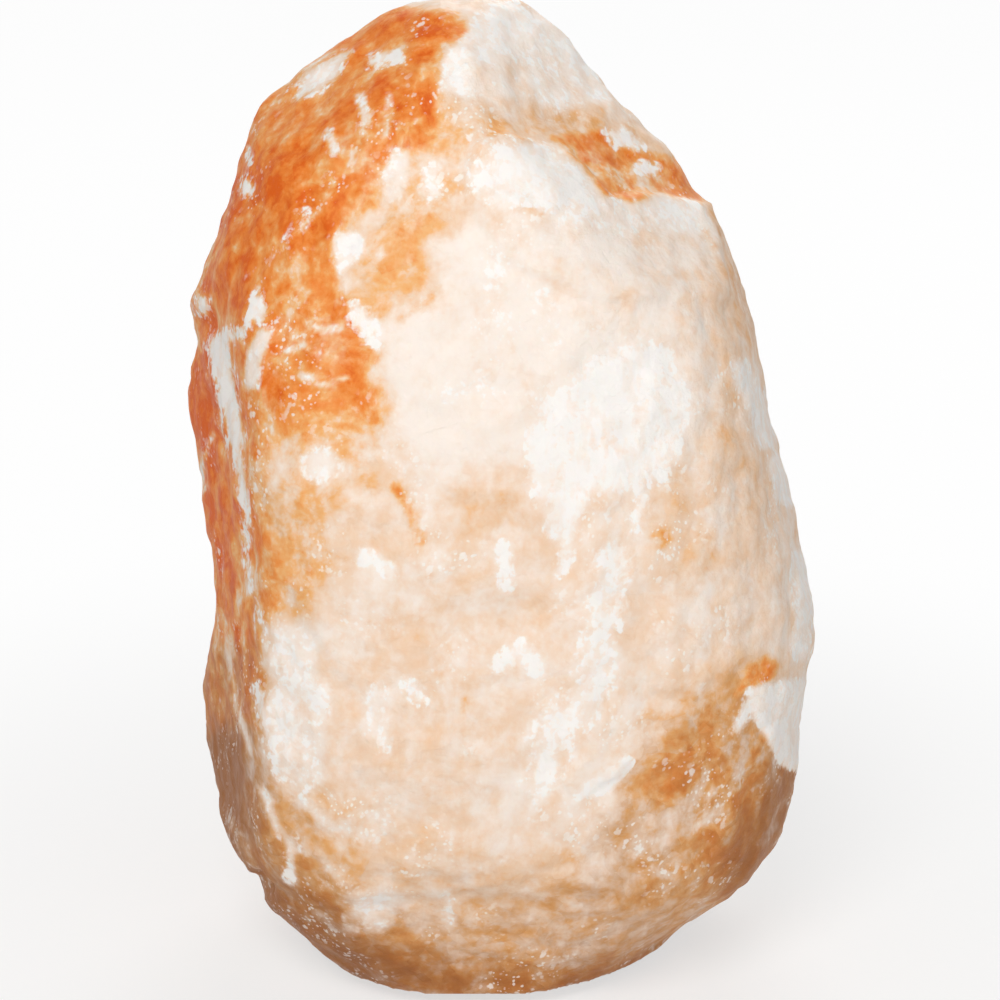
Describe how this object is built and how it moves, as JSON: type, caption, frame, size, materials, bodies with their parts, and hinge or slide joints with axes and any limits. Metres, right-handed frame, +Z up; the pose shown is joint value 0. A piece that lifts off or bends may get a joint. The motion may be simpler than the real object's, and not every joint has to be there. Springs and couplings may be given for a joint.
{
  "type": "salt crystal lamp",
  "caption": "Table lamp: a tall hewn block of rock salt, bored from below for a clip-in lamp holder with a small screw bulb, on low rubber feet.",
  "frame": {"origin": "centre of the lamp's footprint, on the table under the feet, on the axis of the bore", "axes": "+Z up, -Y the side seen in the picture, +X to that viewer's right"},
  "size_m": [0.1568, 0.1304, 0.2415],
  "materials": {
    "rock_salt": "satin",
    "foot_rubber": "matte",
    "zinc_steel": "zinc plated",
    "grey_nylon": "matte",
    "white_nylon": "matte",
    "spring_steel": "bright rolled",
    "holder_plastic": "satin",
    "holder_ceramic": "unglazed",
    "contact_brass": "nickel-free, plain",
    "solder": "matte",
    "black_glass": "gloss",
    "bulb_cap_metal": "bright",
    "bulb_glass": "clear",
    "stem_glass": "clear",
    "wire_metal": "plain"
  },
  "bodies": {
    "crystal": {"salt_crystal": "rock_salt", "foot_front_left": "foot_rubber", "foot_front_right": "foot_rubber", "foot_rear_left": "foot_rubber", "foot_rear_right": "foot_rubber", "foot_washers": "zinc_steel", "foot_screws": "zinc_steel", "screw_plugs": "grey_nylon"},
    "lamp_holder": {"cord_grip": "white_nylon", "cord_grip_screw": "white_nylon", "threaded_nipple": "zinc_steel", "hex_nut": "zinc_steel", "spring_bracket": "spring_steel", "holder_cap": "holder_plastic", "holder_skirt": "holder_plastic", "holder_insert": "holder_ceramic", "screw_shell": "contact_brass", "centre_contact": "contact_brass", "side_contact": "contact_brass", "terminal_screws": "contact_brass"},
    "bulb_tip": {"bulb_contact_tip": "solder"},
    "bulb": {"bulb_cap_insulator": "black_glass", "bulb_cap": "bulb_cap_metal", "bulb_glass": "bulb_glass", "bulb_stem": "stem_glass", "bulb_lead_wires": "wire_metal", "bulb_filament": "wire_metal"}
  },
  "joints": [
    {"name": "holder_pull", "type": "slide", "parent": "crystal", "child": "lamp_holder", "axis": [0, 0, -1], "range_m": [0, 0.125]},
    {"name": "bulb_lift", "type": "slide", "parent": "lamp_holder", "child": "bulb_tip", "axis": [0, 0, 1], "range_m": [0, 0.0085]},
    {"name": "bulb_turn", "type": "hinge", "parent": "bulb_tip", "child": "bulb", "pos_m": [0, 0, 0.072], "axis": [0, 0, 1], "range_deg": [0, 1080]}
  ],
  "couplings": [
    {"joint": "bulb_lift", "follows": "bulb_turn", "m_per_rad": 0.000449}
  ]
}
